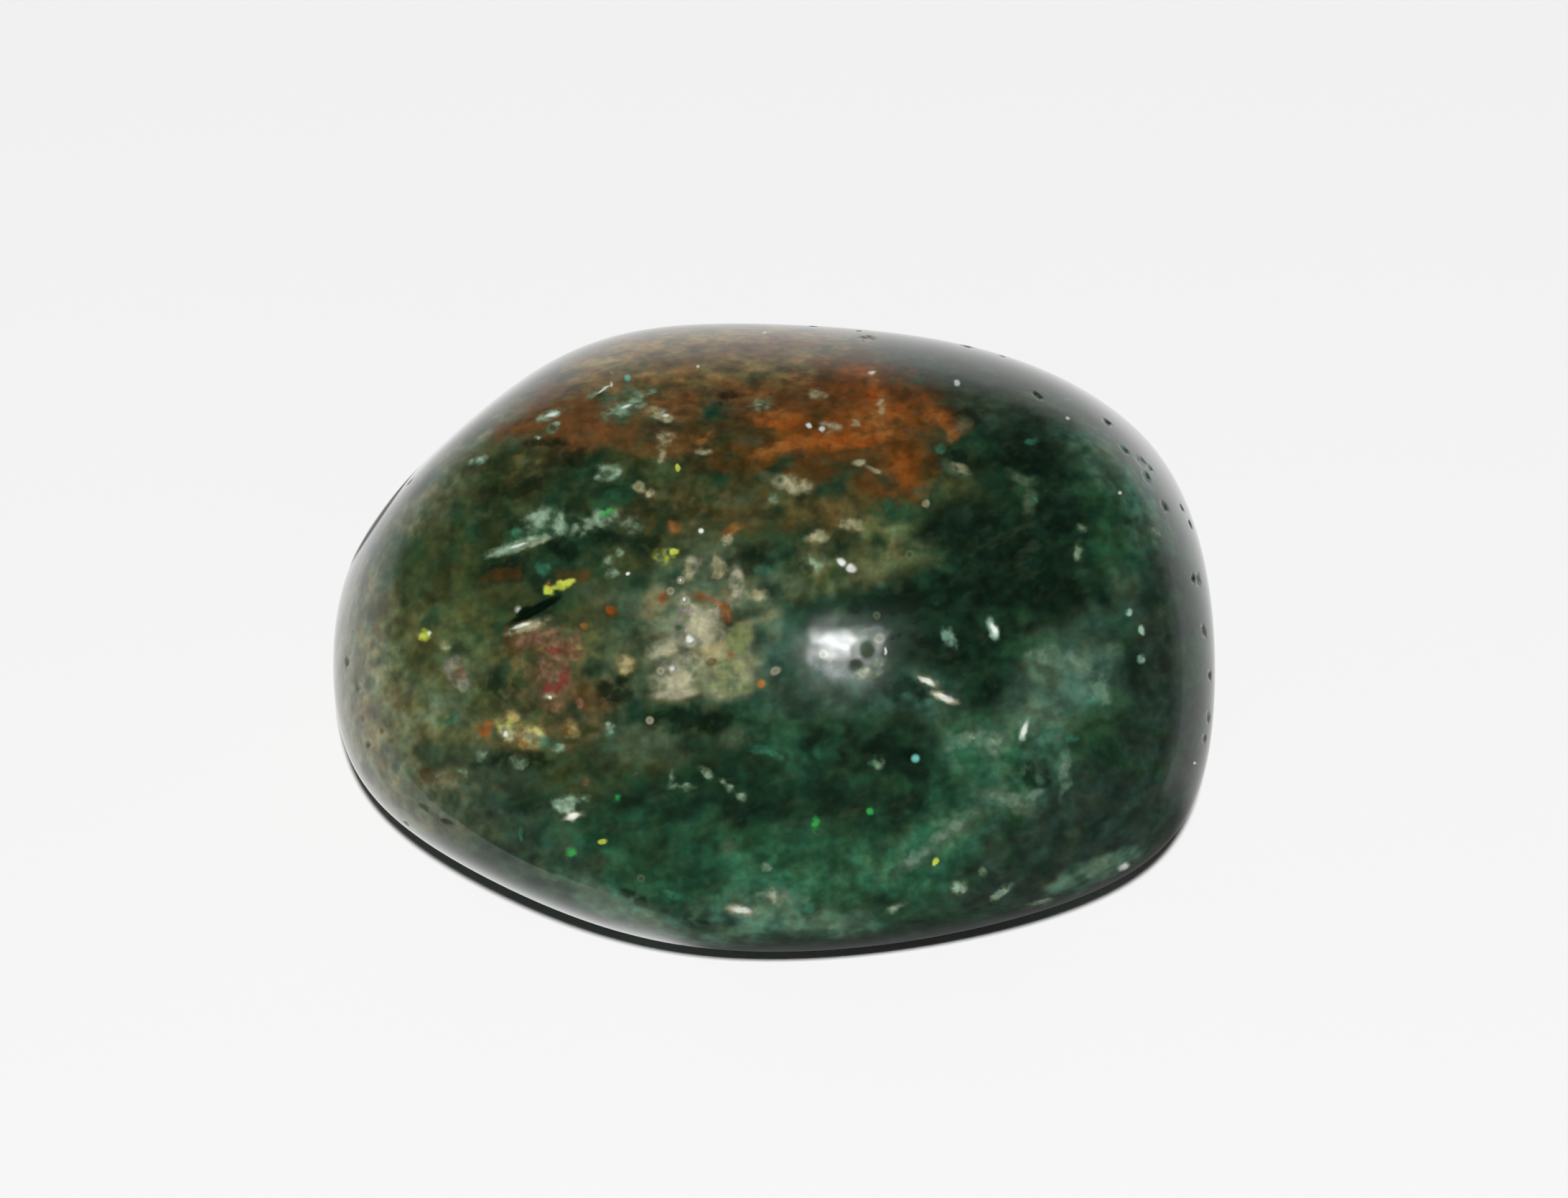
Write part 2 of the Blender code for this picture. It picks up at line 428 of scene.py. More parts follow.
# Dark patches of the stone, and painted shadows below the pale ridge and flakes (under_ridge, by_ridge,
# under_flake)
mark("dark patches and shadows", INK, 0.75, 0.8, "middle",
    leaf=(1012, 552, 11, 8), under_streak=(800, 637, 34, 14), under_ridge=(712, 790, 46, 17, 12),
    by_ridge=(782, 765, 24, 12), by_it=(845, 742, 26, 16, -10), under_flake=(852, 690, 28, 12),
    above_ridge=(725, 680, 50, 14, 10), left=(760, 617, 30, 8), left_slit=(692, 958, 24, 16),
    right=(858, 962, 24, 16), under_bead=(958, 904, 14, 6), by_ring=(1000, 800, 16, 10),
    mid=(900, 750, 22, 18), mid_right=(1035, 780, 30, 16), above_glint=(1155, 765, 24, 14),
    under_arc=(1440, 1080, 22, 20), lower=(880, 1253, 20, 8, -20), heel=(974, 1284, 20, 8),
    cluster_hole=(1012, 878, 8, 14), by_rust=(1345, 580, 22, 14), under_tip=(1330, 640, 30, 14),
    under_haze=(1240, 840, 70, 14, 5), under_cluster=(960, 1000, 70, 16),
    under_orange=(720, 1062, 50, 12), right_low=(1260, 960, 40, 16), shoulder=(1590, 620, 24, 8, -35))
mark("green patches", (EMERALD, LEAF), 0.7, 0.9, "middle",
    under_streak=(870, 575, 26, 10, 20), slit_wedge=(796, 834, 20, 9, 30), mid=(850, 700, 34, 14, 20),
    over_ridge=(725, 745, 34, 10, 30), left=(560, 760, 40), right=(1440, 900, 40, 12),
    corner=(1533, 988, 24, 10, 30), low=(1060, 1172, 24, 12), tip=(1240, 710, 30, 14))
mark("grey patches", (SAGE, DULL_SAGE), 0.55, 0.9, "middle",
    left=(717, 608, 24, 8, 10), left_lower=(678, 617, 14, 7, 20), left_rim=(640, 660, 30, 14, 40),
    by_slit=(818, 827, 16, 12), left_end=(654, 935, 16, 18), left_low=(650, 1000, 22, 12),
    above_cluster=(1026, 806, 10, 22), cluster_skirt=(1062, 842, 14, 9), haze=(1100, 810, 20, 12),
    right_haze=(1325, 652, 22, 8, -25), haze_low=(1021, 1027, 24, 16), under_rust=(1050, 618, 20, 7),
    bottom=(836, 1247, 34, 13, -35), bottom_right=(900, 1287, 36, 9, -25), low=(1015, 1178, 12, 8),
    skirt=(1392, 1110, 24, 9, -10), skirt_right=(1417, 1124, 26, 8, -20),
    streak=(1338, 1155, 44, 8, 32), tip_haze=(1340, 590, 10, 8), under_lobe=(1279, 683, 12, 6),
    grey=(1422, 663, 16, 6, -15), grey_low=(1435, 700, 8, 24, -10), above_ring=(1074, 668, 22, 8),
    left_ring=(1028, 697, 26, 8, 10), left_pink=(880, 840, 22, 12), under_pink=(900, 1030, 26, 14),
    mid_left=(1000, 760, 22, 12))
mark("arc", (ARC_GREY, MILKY), 0.8, 0.9,
    arc=(1490, 918, 46, 9, -26), arc_end=(1530, 960, 14, 24, 15), arc_left=(1448, 912, 20, 12, 30),
    cup=(1482, 1078, 9, 30, -3), foot=(1400, 1112, 34, 9, -10), foot_right=(1440, 1108, 16, 7, 20),
    swirl=(1345, 1030, 26, 10, 20), swirl_right=(1385, 1035, 12, 16), tail=(1330, 1150, 46, 8, 35),
    tail_left=(1275, 1195, 30, 10, 40))
# Pale mint flakes, and painted halos of the two glints on the right (upper_glint, lower_glint)
mark("mint", MINT, 0.66, 0.9,
    upper_glint=(1384, 877, 6, 14, 22), lower_glint=(1426, 1018, 6, 16, -22),
    right=(1323, 888, 8, 14, 25), right_speck=(1590, 917, 6), right_high=(1572, 853, 4, 5),
    right_mid=(1590, 877, 4, 6, 20), low=(848, 1015, 8), flake=(755, 722, 14, 8, 20),
    flake_low=(730, 757, 30, 6, 20), flake_mid=(781, 730, 6, 9), patch=(866, 568, 16, 6, 20),
    patch_right=(888, 555, 12, 5, 25), streak_left=(765, 578, 15, 6, 24), ring_flake=(847, 658, 12, 9),
    left_flake=(665, 640, 12, 7, 20), heel=(1335, 1236, 9, 7), heel_right=(1395, 1243, 13, 5, 30),
    low_left=(786, 1120, 18, 10, 10), shoulder_dot=(749, 608, 5, 3), shoulder_right=(775, 591, 5, 4),
    patch_end=(885, 557, 8, 4, 25), ring_left=(832, 664, 6, 4), ring_right=(857, 658, 6, 5),
    flake_core=(745, 718, 9, 7, 20), flake_right=(778, 728, 5, 8))
mark("cluster body", (PALE_GREY, SAGE), 0.85, 0.9, "fine", "middle",
    head=(978, 866, 36, 32), body=(950, 940, 36, 30), arm=(922, 908, 20, 14, 30),
    right=(1005, 938, 40, 28), shoulder=(1012, 850, 22, 14), top=(960, 838, 16, 12),
    top_right=(1026, 812, 9, 20), top_left=(965, 795, 16, 18))
mark("cluster green", (YELLOW_GREEN, SAGE), 0.75, 0.9, "fine", "middle",
    side=(1030, 895, 18, 44), low=(1010, 930, 36, 18, 10), foot=(1010, 955, 40, 12))
mark("cluster pale", (CREAM, PALE_GREY), 0.75, 0.9, "fine", "middle",
    head=(978, 872, 18, 28, 10), foot=(954, 966, 36, 7, 4), body=(944, 945, 22, 18),
    arm=(926, 908, 16, 9, 30), upper=(962, 846, 13, 8), left_end=(630, 926, 9, 13),
    left_low=(645, 952, 6, 9), orange_cluster=(703, 1018, 14, 9), orange_right=(738, 1023, 10, 8))
mark("amber", (AMBER, TAWNY), 0.78, 0.9, "fine", "middle",
    left=(704, 1018, 26, 17), right=(741, 1026, 22, 15), top=(715, 999, 9, 11),
    far_right=(796, 1014, 12), by_pink=(800, 898, 12, 16), dot=(869, 924, 12))
mark("lavender", (LAVENDER, SAGE), 0.75, 0.9,
    left_end=(631, 930, 13, 16), left_low=(648, 950, 12, 15), cluster=(948, 876, 16, 14),
    cluster_low=(965, 893, 16, 10), cluster_top=(955, 846, 12, 14), cluster_side=(930, 930, 14, 16))
mark("yellow green", (YELLOW, SAGE), 0.5, 0.9,
    mossy=(925, 775, 14, 10), left=(741, 1020, 14, 12), mark=(704, 1012, 18, 11))
mark("brown spots", (UMBER, DARK_RUST), 0.65, 0.8,
    cluster_hole=(990, 922, 11, 7), cluster_top=(1010, 851, 12, 7, -20), left=(848, 853, 12, 8),
    low=(789, 1012, 13, 10), beads=(792, 903, 14, 9), under_yellow=(800, 800, 30, 10),
    low_left=(598, 1082, 18, 12, -20), left_pink=(712, 890, 14, 22), under_pink=(815, 970, 16),
    above_slit=(700, 800, 30, 10, 10))
mark("pink", (PINK, DUSK), 0.6, 0.8,
    under_slit=(746, 887, 30, 18, -10), right_of_it=(784, 896, 28, 18), around_heart=(770, 940, 22, 34),
    bead=(773, 982, 12, 9), dot=(766, 934, 10), dark_rose=(800, 905, 10, 14), low=(816, 1089, 5),
    low_right=(885, 1077, 5), right=(806, 978, 8), haze=(1081, 1248, 14, 10), left=(640, 935, 10, 14))
mark("crimson", CRIMSON, 0.75, 0.7,
    crescent=(784, 946, 8, 18, -5), heart=(767, 958, 11, 9), dark=(766, 906, 15, 7),
    rim=(503, 1001, 4, 6), top_cluster=(1072, 470, 12, 5))
mark("orange", (ORANGE, RED_BROWN), 0.6, 0.9,
    bead=(1327, 606, 9), left_fleck=(982, 612, 16, 9, 20), fleck=(941, 732, 10),
    brown_bead=(1020, 737, 18, 7, 25), tip=(1305, 583, 5), top=(1153, 503, 6),
    cluster_edge=(1018, 912, 7), cluster_shoulder=(1012, 858, 8, 10), under_cluster=(727, 1034, 6),
    rim=(469, 830, 3, 8), left=(524, 878, 4, 9), by_yellow=(766, 812, 5), mid=(814, 871, 5))
mark("red fleck", (FLAME, RED_BROWN), 0.75, 0.9,
    cluster_top=(984, 833, 18, 6, -18), cluster_right=(1006, 842, 9, 7, -20),
    left_yellow=(678, 1015, 15, 10, 20), by_cluster=(922, 833, 8, 7), left=(850, 850, 8, 6))
mark("cream", (CREAM, STONE_GREY), 0.66, 0.9,
    flake=(918, 576, 24, 8, -18), flake_corner=(931, 581, 10, 7), ridge=(745, 755, 24, 4, 18),
    beige=(925, 612, 14, 12), beige_low=(922, 634, 7, 10), smear=(1104, 676, 24, 12, -10),
    orange_cluster=(705, 1021, 16, 10), orange_right=(741, 1024, 12, 9),
    low_flake=(1033, 1268, 20, 8, -8), dot=(869, 924, 9), cluster_right=(1054, 827, 14, 9),
    # gleam_patch: a painted part of the highlight, below its bright core
    pink=(766, 971, 7), fleck=(1138, 748, 14, 9, 20), gleam_patch=(1208, 937, 16, 8, 12),
    fleck_right=(1186, 730, 16, 8), under_rust=(1196, 644, 8, 5), under_right=(1222, 656, 16, 4, -20),
    in_rust=(1158, 594, 13, 8), rust_left=(1139, 548, 12, 7), rust_right=(1228, 562, 6, 13),
    rust_far=(1192, 589, 8, 5), shard=(1012, 752, 8), under_lobe=(1289, 701, 5), left=(980, 628, 10, 5),
    dash=(1291, 948, 17, 7, -28), dash_lower=(1313, 970, 20, 6, -22), slit_bank=(737, 872, 28, 7, 20),
    white_flake=(798, 1136, 15, 7, 15), left_end=(619, 900, 7), soft_dot=(891, 679, 9, 7),
    soft_right=(906, 686, 7, 6), far_right=(1338, 652, 12, 6, -25), top_cluster=(960, 792, 10, 14),
    between=(1000, 790, 10, 18))
mark("pale green", (PALE_GREEN, SAGE), 0.62, 0.95,
    patch=(868, 568, 28, 11, 20), patch_right=(887, 554, 16, 9, 25), streak=(834, 546, 20, 4, 28),
    streak_left=(760, 580, 19, 5, 24), fleck=(1058, 561, 16, 9), flake=(749, 726, 24, 16, 20),
    flake_mid=(781, 731, 12, 16), flake_right=(815, 734, 20, 11, 10), flake_end=(842, 722, 20, 12, 15),
    flake_far=(880, 732, 16, 10), ridge=(728, 757, 46, 8, 18), patch_far=(905, 547, 9, 4, 25),
    over_streak=(853, 521, 3, 6, 10), shoulder_ring=(768, 599, 7, 5), ridge_end=(694, 770, 16, 5, 18),
    pair=(847, 779, 8, 11), pair_right=(863, 768, 6, 7), pair_low=(850, 797, 11, 7),
    ring_flake=(848, 652, 14, 8), under_glint=(1133, 784, 15, 12), dot=(1079, 693, 8),
    dot_low=(848, 1015, 7), left=(672, 1051, 8, 9), left_low=(722, 1061, 12, 9),
    left_lower=(644, 1076, 7), below_cream=(777, 1041, 12, 6), flake_low=(788, 1120, 20, 12, 20),
    low_right=(812, 1112, 10, 6), dash=(988, 1078, 15, 5, -35), dash_mid=(1012, 1093, 20, 5, -35),
    dash_end=(1032, 1107, 9, 6, -45), hook=(935, 1083, 5, 12), hook_foot=(947, 1095, 18, 6, -5),
    right=(1506, 735, 6), right_low=(1502, 769, 7, 10), shoulder=(1611, 741, 8, 5, -40),
    cloud=(1388, 1032, 6, 14, 20), cloud_left=(1356, 1027, 6), heel=(1335, 1235, 11, 9),
    heel_flake=(1395, 1242, 15, 6, 35), heel_left=(1246, 1264, 13, 6, 15), heel_dot=(1369, 1214, 6),
    heel_rim=(1450, 1256, 16, 6, 10), low_dot=(1067, 1208, 7, 6), sheen=(1222, 1062, 8),
    # gleam_patch: a painted part of the highlight, below its bright core
    gleam_right=(1226, 925, 12, 9), gleam_patch=(1205, 936, 17, 9, 12), low_pale=(1076, 1248, 18, 12))
mark("teal", (TEAL, EMERALD), 0.55, 0.9,
    dot=(874, 526, 6), patch=(870, 550, 30, 12, 15), spot=(609, 664, 12, 6, 30),
    shard=(717, 739, 14, 9, 40), line=(894, 867, 24, 3, -3), patch_right=(1063, 794, 12, 8),
    mid=(1054, 1043, 14, 7), mid_right=(1076, 1050, 14, 5, -25), rust_dot=(1309, 625, 7),
    right=(1323, 888, 8, 13, 25), right_high=(1304, 840, 6), right_far=(1438, 698, 6),
    crown=(1437, 613, 9, 6), crown_right=(1487, 556, 5), shoulder_low=(1585, 690, 30, 8, -45),
    low=(937, 1246, 14, 6, -15), low_left=(851, 1239, 12, 5, -40), bottom=(1000, 1254, 8),
    bottom_right=(1126, 1266, 9), corner=(1524, 975, 14, 8, 25), corner_low=(1492, 1028, 12, 6),
    orange_cluster=(758, 1034, 18, 8, -10), left_end=(628, 1003, 12, 9), dim=(1217, 1061, 8),
    streak=(725, 1161, 3, 9), under_ridge=(755, 790, 12, 10))
mark("lime", LIME, 0.7, 0.9,
    bright_dot=(846, 713, 8, 5, 10), low=(1136, 1149, 6, 12), low_right=(1212, 1128, 5),
    green_dot=(859, 1112, 5), green=(796, 1188, 7))
mark("yellow", YELLOW, 0.75, 0.7,
    flake=(765, 822, 8, 7), flake_right=(782, 814, 16, 6, 14), dot=(592, 884, 9, 7),
    low_dot=(1303, 1201, 4, 6), bead=(944, 651, 3, 5), fleck=(940, 771, 7, 6), end=(840, 1172, 6, 4))
# Rings and glint rings: painted out-of-focus glints, each a pale ring round a darker middle
mark("rings", SAGE, 0.6, 0.45, "none", "solid", core=DARK_OLIVE,
    ring_flake=(845, 660, 15, 9, 20), beige_ring=(770, 596, 8), grey_ring=(1087, 668, 6),
    haze_ring=(1267, 772, 6), bottom_ring=(893, 1223, 5), gleam_ring=(1221, 857, 5),
    orange_ring=(1060, 952, 8), grey_bead=(945, 874, 8, 7))
mark("glint rings", PALE_GREY, 0.65, 0.6, "none", "solid", core=SAGE,
    cluster=(954, 836, 6), cluster_low=(938, 931, 7), cluster_lowest=(920, 934, 5), small=(948, 808, 5),
    second_small=(934, 823, 5), cluster_side=(962, 893, 8), above_slit=(722, 849, 5),
    gleam=(1147, 911, 6), gleam_right=(1225, 889, 7), by_orange=(1080, 934, 7, 5, 30),
    dash=(905, 1003, 5))
# Painted highlight: a grey blue haze around the lamp's highlight
mark("painted highlight halo", PAINTED_HALO_BLUE, 0.45, 0.9,
    gleam_haze=(1172, 932, 30, 12, -10), gleam_left=(1139, 918, 14, 10), gleam_right=(1222, 880, 16, 9))
mark("orange core", ORANGE, 1.0, 0.5, "none", "solid",
    bead=(1060, 952, 5))
# White specks, and painted glints: the double glint, the two glints on the right and the sparkles in
# the rust are painted highlights of the lamp
mark("white specks and painted glints", SPECK_AND_GLINT_WHITE, 0.7, 0.7, "fine", "solid",
    slit_bead=(722, 849, 4), slit_bank=(726, 871, 14, 3, 20), streak=(840, 542, 12, 2, 35),
    streak_left=(768, 577, 9, 3, 20), glint_left=(1172, 783, 7, 5, -20), glint_right=(1186, 791, 7, 6),
    cluster_bead=(953, 835, 3), cluster_low=(961, 890, 6), cluster_lowest=(937, 930, 4),
    small_bead=(948, 808, 2), rust_sparkle=(1127, 592, 4), rust_right=(1145, 597, 4),
    rust_high=(1214, 519, 6, 3), top_bead=(973, 510, 3), top_dot=(1065, 463, 3), right=(1333, 533, 4),
    right_crown=(1487, 583, 3), shoulder=(1560, 686, 3), bead_low=(1233, 906, 2, 6),
    upper_glint=(1384, 876, 4, 10, 25), lower_glint=(1426, 1017, 4, 12, -22),
    dash=(1290, 948, 12, 4, -28), dash_lower=(1315, 971, 15, 4, -20),
    white_flake=(797, 1137, 10, 5, 15), low_flake=(1032, 1267, 14, 5, -8), cream_bead=(976, 739, 4),
    orange_cluster=(705, 1022, 4), pink_bead=(766, 971, 3), yellow_dot=(598, 882, 3),
    streak_end=(852, 535, 3), ridge=(722, 760, 14, 2, 18), patch=(872, 566, 8, 2, 20),
    flake_corner=(928, 578, 5, 3), corner_speck=(1664, 1062, 2), heel=(1565, 1207, 9, 6, 20),
    mid=(874, 798, 3))
mark("aqua", AQUA, 0.9, 0.7, "none", "solid",
    dot=(1275, 1056, 5), crown=(874, 526, 4))
# Painted shade: darker paint over the pits, and over the hole in the highlight
mark("dark specks and pit shade", (UMBER, INK), 0.5, 0.9,
    left_rim=(483, 924, 4, 11, 5), rim_low=(497, 954, 5, 10, 10), left=(532, 1018, 4, 5),
    left_low=(511, 1036, 4, 6), left_lowest=(540, 1044, 4, 5), left_high=(491, 880, 3, 4),
    low_left=(592, 1124, 14, 5, -35), low_right=(620, 1144, 16, 5, -20), crown_pit=(1209, 471, 13, 5),
    top_chip=(1353, 476, 10, 3, -12), top_pit=(1396, 496, 6, 3), shoulder_nick=(1542, 588, 8, 4, -40),
    crease=(1590, 643, 12, 6, -45), crease_low=(1602, 653, 6, 5), crease_foot=(1597, 664, 5, 9, 20),
    right_rim=(1669, 807, 5, 11, 5), right_left=(1662, 805, 4, 6), right_scratch=(1677, 879, 3, 10, 15),
    right_low=(1685, 940, 3, 6), right_corner=(1677, 1028, 6), rim_nick=(1658, 730, 4, 7, 10),
    gleam_pit=(1208, 905, 11, 12), by_gleam=(1192, 926, 12), heel_pit=(1376, 1262, 7, 4, 20))
# Painted shade: the inside of the slit is painted black
mark("slit", INK, 1.0, 0.35, "none", "solid",
    slit=(746, 849, 40, 6, 28), mouth=(732, 854, 14, 9, 25))

# Rough places, without the polish
WORN = layer(None, 0.9, 0.5, "none", "solid",
    sliver_rim=(531, 717, 80, 4, 55.5), slit=(746, 849, 40, 6, 28), hole_gleam=(1208, 905, 11, 13),
    under_gleam=(1192, 926, 10, 9))

# Layers of the far side, how many marks each gets, and their smallest and largest half width in
# millimetres. The first ones are zones, the others lie over them.
HIDDEN_ZONES = {
    "emerald": (layer((EMERALD, LEAF), 0.85, 0.8, "wide", "middle"), 6, 1.5, 3.5),
    "brown": (layer((BROWN, SHADE_OLIVE), 0.85, 0.8, "wide", "middle"), 5, 2.0, 3.5),
    "grey": (layer((GREY_GREEN, SLATE), 0.8, 0.8, "wide", "middle"), 5, 2.0, 4.0),
    "ink": (layer((INK, DEEP), 0.85, 0.7, "middle", "middle"), 5, 1.0, 2.2),
    "milk": (layer((MILKY, MILKY_TEAL), 0.7, 0.9, "middle", "middle"), 5, 0.8, 1.8),
}
HIDDEN_MARKS = {
    "rust": (layer((RUST, DARK_RUST), 0.85, 0.7, "middle"), 9, 0.5, 1.6),
    "flame": (layer(FLAME, 0.6, 0.9, "middle"), 7, 0.2, 0.6),
    "beige": (layer((BEIGE, SAGE), 0.7, 0.7), 8, 0.3, 0.8),
    "cream": (layer((CREAM, BEIGE), 0.7, 0.7), 12, 0.12, 0.35),
    "pale green": (layer((PALE_GREEN, SAGE), 0.65, 0.8), 14, 0.14, 0.45),
    "teal": (layer((TEAL, JADE), 0.6, 0.9), 12, 0.12, 0.4),
    # Small white specks and painted glints of the far side
    "white specks and painted glints": (layer(SPECK_AND_GLINT_WHITE, 0.7, 0.7, "fine", "solid"), 12, 0.06, 0.16),
}


# Camera, light and floor

def put(name, data):
    """A new object in the scene."""
    thing = bpy.data.objects.new(name, data)
    bpy.context.scene.collection.objects.link(thing)
    return thing


def make_camera():
    data = bpy.data.cameras.new("photo_camera")
    data.sensor_width = SENSOR_WIDTH
    data.lens = FOCAL_PIXELS / PHOTO_WIDTH * SENSOR_WIDTH
    data.clip_start = NEAREST_SEEN
    data.clip_end = FARTHEST_SEEN
    camera = put("photo_camera", data)
    camera.location = CAMERA_PLACE
    camera.rotation_euler = VIEW_AXES.to_euler()
    bpy.context.scene.camera = camera


def aimed_panel(name, skin, pixel, size, power):
    """A panel that the polish mirrors to a pixel of the photograph."""
    place, normal = skin.at_pixel(*pixel)
    to_camera = (CAMERA_PLACE - place).normalized()
    to_lamp = 2 * normal.dot(to_camera) * normal - to_camera
    data = bpy.data.lights.new(name, "AREA")
    data.shape = "RECTANGLE"
    data.size, data.size_y = size
    data.energy = power
    lamp = put(name, data)
    lamp.location = place + to_lamp * LAMP_DISTANCE
    lamp.rotation_euler = to_lamp.to_track_quat("Z", "Y").to_euler()
    return lamp


def make_lamps(skin):
    lamp = aimed_panel("lamp", skin, LAMP_PIXEL, LAMP_SIZE, LAMP_POWER)
    lamp.visible_glossy = False
    glint = aimed_panel("glint", skin, GLINT_PIXEL, GLINT_SIZE, GLINT_POWER)
    glint.visible_diffuse = False
    halo = aimed_panel("halo", skin, HALO_PIXEL, HALO_SIZE, HALO_POWER)
    halo.visible_diffuse = False


def new_material(name):
    material = bpy.data.materials.new(name)
    material.use_nodes = True
    return material, material.node_tree.nodes["Principled BSDF"].inputs


def matt_material(name):
    """A material without any shine."""
    material, shader = new_material(name)
    shader["Roughness"].default_value = 1.0
    shader["Specular IOR Level"].default_value = 0.0
    return material, shader


def make_floor():
    bpy.ops.mesh.primitive_circle_add(
        vertices=FLOOR_CORNERS, radius=FLOOR_RADIUS, fill_type="NGON", location=(0, 0, -FLOOR_DROP))
    floor = bpy.context.object
    floor.name = "floor"
    material, shader = matt_material("pale_floor")
    shader["Base Color"].default_value = (FLOOR_GREY, FLOOR_GREY, FLOOR_GREY, 1)
    floor.data.materials.append(material)


def make_card():
    """The black card, from under the stone's overhang outwards, as pale as the floor at its ends."""
    _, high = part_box("bloodstone")
    points = []
    for angle in range(CARD_FROM, CARD_TO + 1, CARD_STEP):
        towards = Vector((cos(radians(angle)), sin(radians(angle)), 0))
        points.append(Vector((towards.x * high[0], towards.y * high[1], 0)) * CARD_START)
        points.append(towards * CARD_REACH)
    strips = [(i, i + 2, i + 3, i + 1) for i in range(0, len(points) - 2, 2)]
    mesh = bpy.data.meshes.new("black_card")
    mesh.from_pydata(points, [], strips)
    mesh.materials.append(card_material())
    card = put("black_card", mesh)
    card.location.z = -FLOOR_DROP / 2
    card.visible_camera = False
    card.visible_diffuse = False
    card.visible_shadow = False


def card_material():
    material, shader = matt_material("black_card")
    pen = Pen(material.node_tree)
    where = pen.add("ShaderNodeTexCoord").outputs["Object"]
    place = pen.add("ShaderNodeSeparateXYZ", {0: where})
    angle = pen.math("ARCTAN2", place.outputs["X"], pen.math("MULTIPLY", place.outputs["Y"], -1.0))
    begin = CARD_FROM - NEAR_SIDE
    end = CARD_TO - NEAR_SIDE
    first = pen.fade(angle, radians(begin), radians(begin + CARD_FADE))
    last = pen.fade(angle, radians(end - CARD_FADE), radians(end), 1.0, 0.0)
    black = pen.math("MULTIPLY", first, last)
    grey = pen.fade(black, 0.0, 1.0, FLOOR_GREY, CARD_GREY)
    material.node_tree.links.new(grey, shader["Base Color"])
    return material


def make_room():
    """A dim room, as pale as the floor where it meets it, but not behind the camera."""
    world = bpy.data.worlds.new("room")
    world.use_nodes = True
    bpy.context.scene.world = world
    background = world.node_tree.nodes["Background"]
    pen = Pen(world.node_tree)
    direction = pen.add("ShaderNodeTexCoord").outputs["Generated"]
    direction = pen.add("ShaderNodeSeparateXYZ", {0: direction}).outputs
    horizon = pen.fade(
        direction["Y"], ROOM_NEAR_SIDE, ROOM_FAR_SIDE, ROOM_NEAR_HORIZON, ROOM_FAR_HORIZON)
    glow = pen.fade(direction["Z"], ROOM_GLOW_TOP, ROOM_GLOW_FOOT, ROOM_OVERHEAD, horizon)
    background.inputs["Color"].default_value = (1, 1, 1, 1)
    world.node_tree.links.new(glow, background.inputs["Strength"])


# The fine surface

def fine_mesh():
    """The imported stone's own skin, cut finer and smoothed; its resting flat stays where it is."""
    bm = bmesh.new()
    bm.from_mesh(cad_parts["bloodstone"].data)
    bmesh.ops.remove_doubles(bm, verts=bm.verts[:], dist=SAME_PLACE)
    bmesh.ops.subdivide_edges(bm, edges=bm.edges[:], cuts=SURFACE_CUTS, use_grid_fill=True)
    bmesh.ops.triangulate(bm, faces=bm.faces[:])
    free = [v for v in bm.verts if v.co.z > FLAT_HEIGHT]
    every_axis = {"use_axis_x": True, "use_axis_y": True, "use_axis_z": True}
    for _ in range(SMOOTHING_STEPS):
        bmesh.ops.smooth_vert(bm, verts=free, factor=SMOOTHING_SHARE, **every_axis)
    bm.normal_update()
    for v in free:
        rise = min(1.0, v.co.z / MM)
        v.co += v.normal * noise.noise(v.co / WAVE_SIZE) * WAVE_DEPTH * rise
    bm.normal_update()
    return bm


class Skin:
    """Finds points on the stone, by pixel of the photograph or by chance on its far side."""

    def __init__(self, bm):
        self.tree = BVHTree.FromBMesh(bm)
        low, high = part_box("bloodstone")
        self.heart = (Vector(low) + Vector(high)) / 2

    def at_pixel(self, u, v):
        """The point seen at a pixel; one that just misses the stone is drawn in to its rim."""
        offset = Vector((u, v)) - HEART_PIXEL
        for step in range(RIM_STEPS):
            seen = HEART_PIXEL + offset * (1 - step * RIM_STEP)
            right = (seen.x - PHOTO_WIDTH / 2) / FOCAL_PIXELS
            up = (PHOTO_HEIGHT / 2 - seen.y) / FOCAL_PIXELS
            ray = (VIEW_AXES @ Vector((right, up, -1.0))).normalized()
            place, normal, _, _ = self.tree.ray_cast(CAMERA_PLACE, ray)
            if place is not None:
                return place, normal
        raise ValueError(f"pixel {u}, {v} is not on the stone")

    def hidden(self, chance):
        """A point somewhere on the side that the photograph doesn't show."""
        while True:
            around = radians(chance.uniform(0, 360))
            up = asin(chance.uniform(LOWEST_HIDDEN, 1))
            outward = Vector((cos(up) * cos(around), cos(up) * sin(around), sin(up)))
            start = self.heart + outward * WELL_OUTSIDE * MM
            place, normal, _, _ = self.tree.ray_cast(start, -outward)
            if normal.dot(VIEW_BACK) < HIDDEN_TURN:
                return place, normal


def photo_axes(turn):
    """Axes of a mark seen in the photograph, turned anticlockwise in the picture by degrees."""
    return VIEW_AXES @ Matrix.Rotation(radians(turn), 3, "Z")


def skin_axes(normal, turn):
    """Axes of a mark that lies flat on the skin: across, along and outward."""
    across = Vector((0, 0, 1)).cross(normal)
    if across.length < NEARLY_LEVEL:
        across = Vector((1, 0, 0))
    across.normalize()
    along = normal.cross(across).normalized()
    flat = Matrix((across, along, normal)).transposed()
    return flat @ Matrix.Rotation(radians(turn), 3, "Z")


Mark = namedtuple("Mark", "place axes half_width half_height depth")


